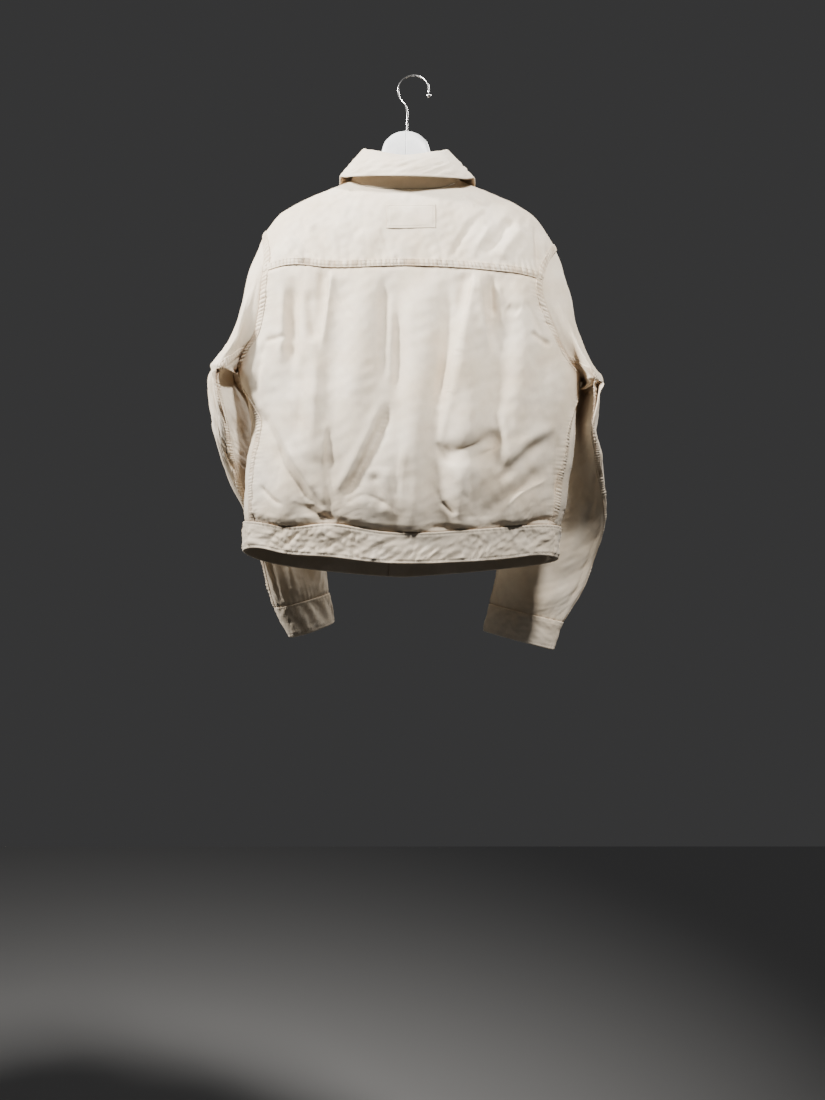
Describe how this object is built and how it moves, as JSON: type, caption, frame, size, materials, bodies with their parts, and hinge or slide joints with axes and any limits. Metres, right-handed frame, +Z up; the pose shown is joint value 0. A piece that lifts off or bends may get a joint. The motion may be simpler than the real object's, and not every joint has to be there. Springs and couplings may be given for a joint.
{
  "type": "trucker jacket on a hanger",
  "caption": "Cropped cotton drill trucker jacket with a back yoke, shirt collar, waistband and button cuffs, hung on a wide-shouldered hanger with a steel hook.",
  "frame": {"origin": "inside top of the hanger's hook, where it rests on a rail", "axes": "+Z up, the jacket's front faces -Y, the wearer's left is +X"},
  "size_m": [0.6554, 0.2826, 0.9444],
  "materials": {
    "drill_cloth": "washed ecru cotton drill",
    "buttons": "cream resin",
    "hanger_plastic": "white moulded plastic, fine satin",
    "hook_steel": "bright steel wire"
  },
  "bodies": {
    "root": {"back": "drill_cloth", "back_yoke": "drill_cloth", "yoke_patch": "drill_cloth", "front_left": "drill_cloth", "front_right": "drill_cloth", "placket": "drill_cloth", "waistband_back": "drill_cloth", "waistband_front_left": "drill_cloth", "waistband_front_right": "drill_cloth", "sleeve_left_upper": "drill_cloth", "sleeve_left_under": "drill_cloth", "sleeve_right_upper": "drill_cloth", "sleeve_right_under": "drill_cloth", "cuff_left": "drill_cloth", "cuff_right": "drill_cloth", "collar_stand": "drill_cloth", "collar_fall": "drill_cloth", "button_front_1": "buttons", "button_front_2": "buttons", "button_front_3": "buttons", "button_front_4": "buttons", "button_front_5": "buttons", "button_waistband": "buttons", "button_cuff_left": "buttons", "button_cuff_right": "buttons", "hanger_left": "hanger_plastic", "hanger_right": "hanger_plastic", "hook": "hook_steel", "hook_ball": "hook_steel"}
  },
  "joints": []
}
